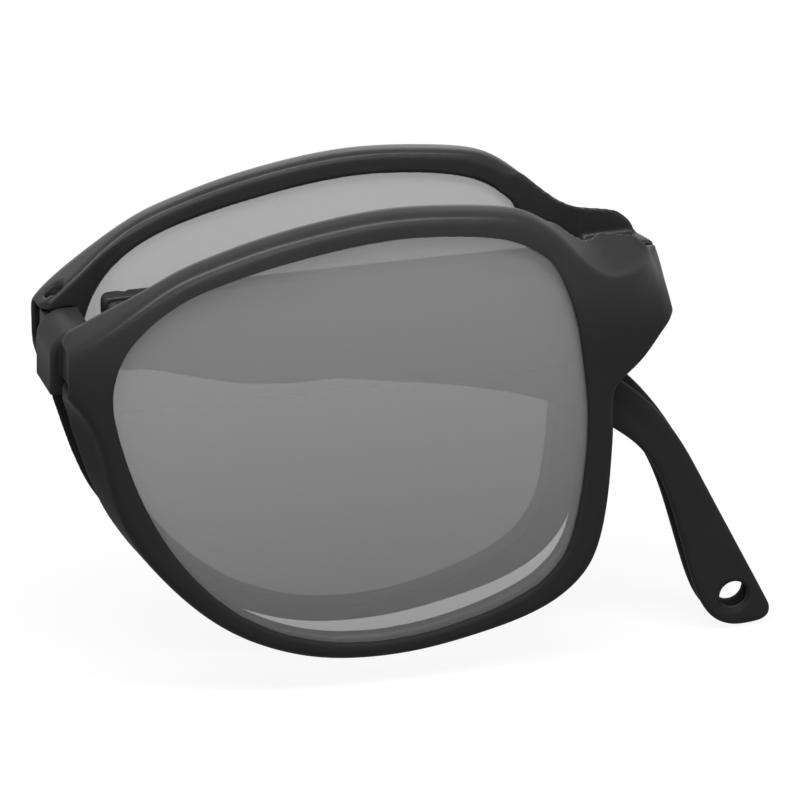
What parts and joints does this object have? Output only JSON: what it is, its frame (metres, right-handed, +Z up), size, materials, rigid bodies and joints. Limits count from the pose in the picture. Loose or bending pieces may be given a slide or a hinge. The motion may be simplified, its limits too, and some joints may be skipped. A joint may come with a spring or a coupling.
{
  "type": "folding laser safety glasses",
  "caption": "Tinted safety glasses that fold flat: the front folds back to back on a pinned bridge link, with jointed temples stowed between the halves.",
  "frame": {"origin": "middle of the folded pair's bounding box", "axes": "+X from the bridge to the end pieces, +Y from the wearer's left half to the right half behind it, +Z up as worn"},
  "size_m": [0.08, 0.0208, 0.056],
  "materials": {
    "frame": "satin black moulding",
    "lens": "polished grey filter",
    "pin": "plain steel"
  },
  "bodies": {
    "right_half": {"right_rim": "frame", "right_lens": "lens", "right_bridge_pin": "pin", "right_temple_pin": "pin"},
    "link": {"bridge_link": "frame"},
    "left_half": {"left_rim": "frame", "left_lens": "lens", "left_bridge_pin": "pin", "left_temple_pin": "pin"},
    "left_arm": {"left_temple_arm": "frame", "left_tip_pin": "pin"},
    "left_tip": {"left_temple_tip": "frame"},
    "right_arm": {"right_temple_arm": "frame", "right_tip_pin": "pin"},
    "right_tip": {"right_temple_tip": "frame"}
  },
  "joints": [
    {"name": "bridge_right", "type": "hinge", "parent": "right_half", "child": "link", "pos_m": [-0.03732, 0.0056, 0.01291], "axis": [0, 0, -1], "range_deg": [0, 90]},
    {"name": "bridge_left", "type": "hinge", "parent": "link", "child": "left_half", "pos_m": [-0.03732, -0.0056, 0.01291], "axis": [0, 0, -1], "range_deg": [0, 90]},
    {"name": "left_temple_hinge", "type": "hinge", "parent": "left_half", "child": "left_arm", "pos_m": [0.02368, -0.00245, 0.01241], "axis": [0, 0, -1], "range_deg": [0, 90]},
    {"name": "left_tip_hinge", "type": "hinge", "parent": "left_arm", "child": "left_tip", "pos_m": [-0.03112, -0.00245, 0.01351], "axis": [0, 0, -1], "range_deg": [0, 180]},
    {"name": "right_temple_hinge", "type": "hinge", "parent": "right_half", "child": "right_arm", "pos_m": [0.02368, 0.00245, 0.01241], "axis": [0, 0, 1], "range_deg": [0, 90]},
    {"name": "right_tip_hinge", "type": "hinge", "parent": "right_arm", "child": "right_tip", "pos_m": [-0.03112, 0.00245, 0.01351], "axis": [0, 0, 1], "range_deg": [0, 180]}
  ],
  "couplings": [
    {"joint": "left_temple_hinge", "follows": "bridge_left", "ratio": 0.1},
    {"joint": "left_tip_hinge", "follows": "bridge_left", "ratio": 0.005},
    {"joint": "right_temple_hinge", "follows": "bridge_right", "ratio": 0.1},
    {"joint": "right_tip_hinge", "follows": "bridge_right", "ratio": 0.005}
  ]
}
